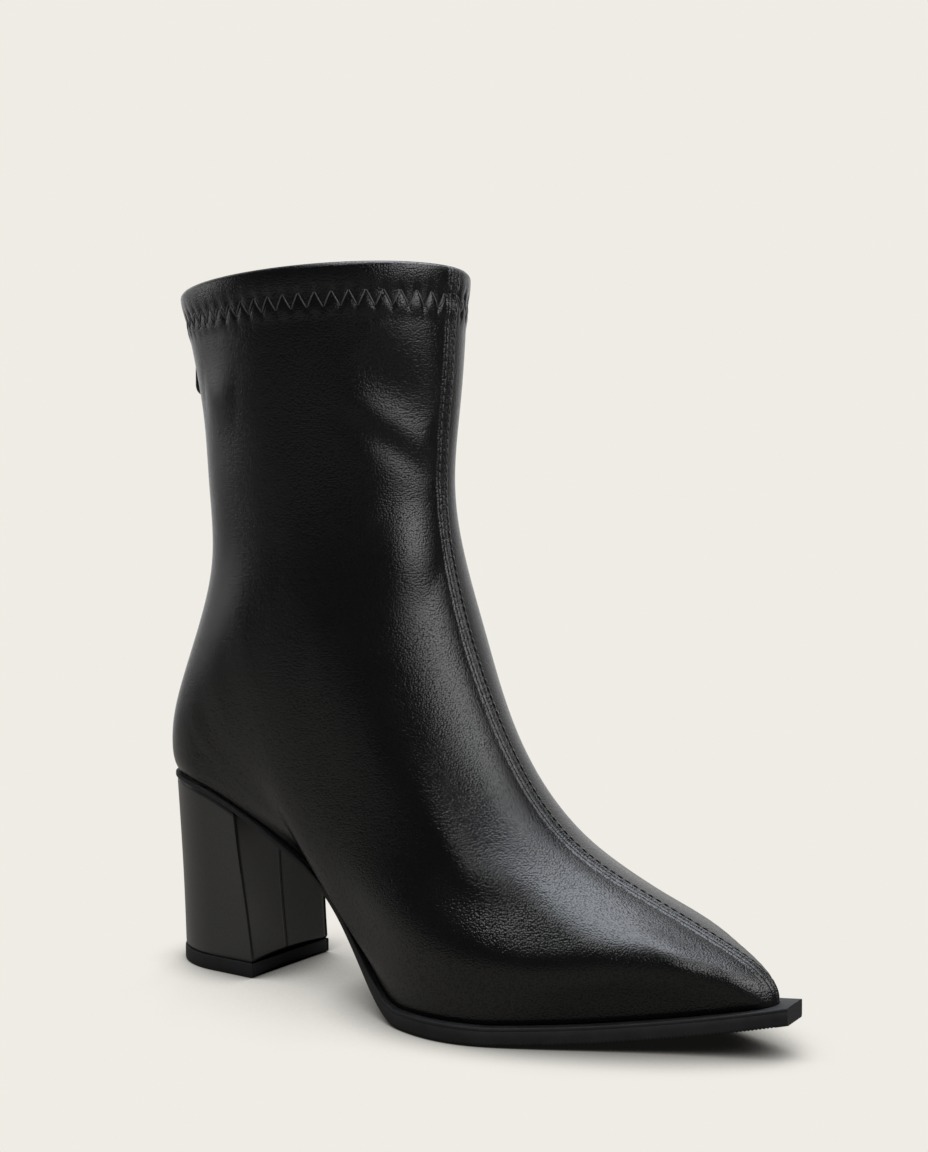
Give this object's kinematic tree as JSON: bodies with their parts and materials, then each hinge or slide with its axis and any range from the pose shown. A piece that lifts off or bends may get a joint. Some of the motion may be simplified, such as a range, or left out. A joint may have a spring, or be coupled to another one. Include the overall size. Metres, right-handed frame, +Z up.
{
  "type": "block heel ankle boot",
  "caption": "Right ankle boot with a pointed snipped toe, flared shaft, hemmed collar, front seam, back zip with hanging pull tab, arched sole and a high block heel.",
  "frame": {"origin": "middle of the boot's box, on the floor", "axes": "+X towards the toe, +Y towards the inner side of the foot, +Z up"},
  "size_m": [0.2603, 0.0908, 0.2678],
  "materials": {
    "black_leather": "smooth black leather with a fine grain and a soft sheen",
    "sole_rubber": "matte black rubber",
    "insole_board": "matte black lining",
    "heel_wrap": "smooth black leather wrapped round the heel",
    "lift_rubber": "matte black rubber",
    "zip_fabric": "black woven tape with a black coil",
    "slider_metal": "black painted metal",
    "tab_metal": "black painted metal"
  },
  "bodies": {
    "boot": {"upper": "black_leather", "outsole": "sole_rubber", "insole": "insole_board", "heel_block": "heel_wrap", "heel_top_lift": "lift_rubber", "zip_tape": "zip_fabric", "zip_slider": "slider_metal"},
    "zip_pull": {"zip_pull_tab": "tab_metal"}
  },
  "joints": [
    {"name": "zip_pull_swing", "type": "hinge", "parent": "boot", "child": "zip_pull", "pos_m": [-0.12275, 0, 0.25377], "axis": [0, 1, 0], "range_deg": [-8, 150]}
  ]
}
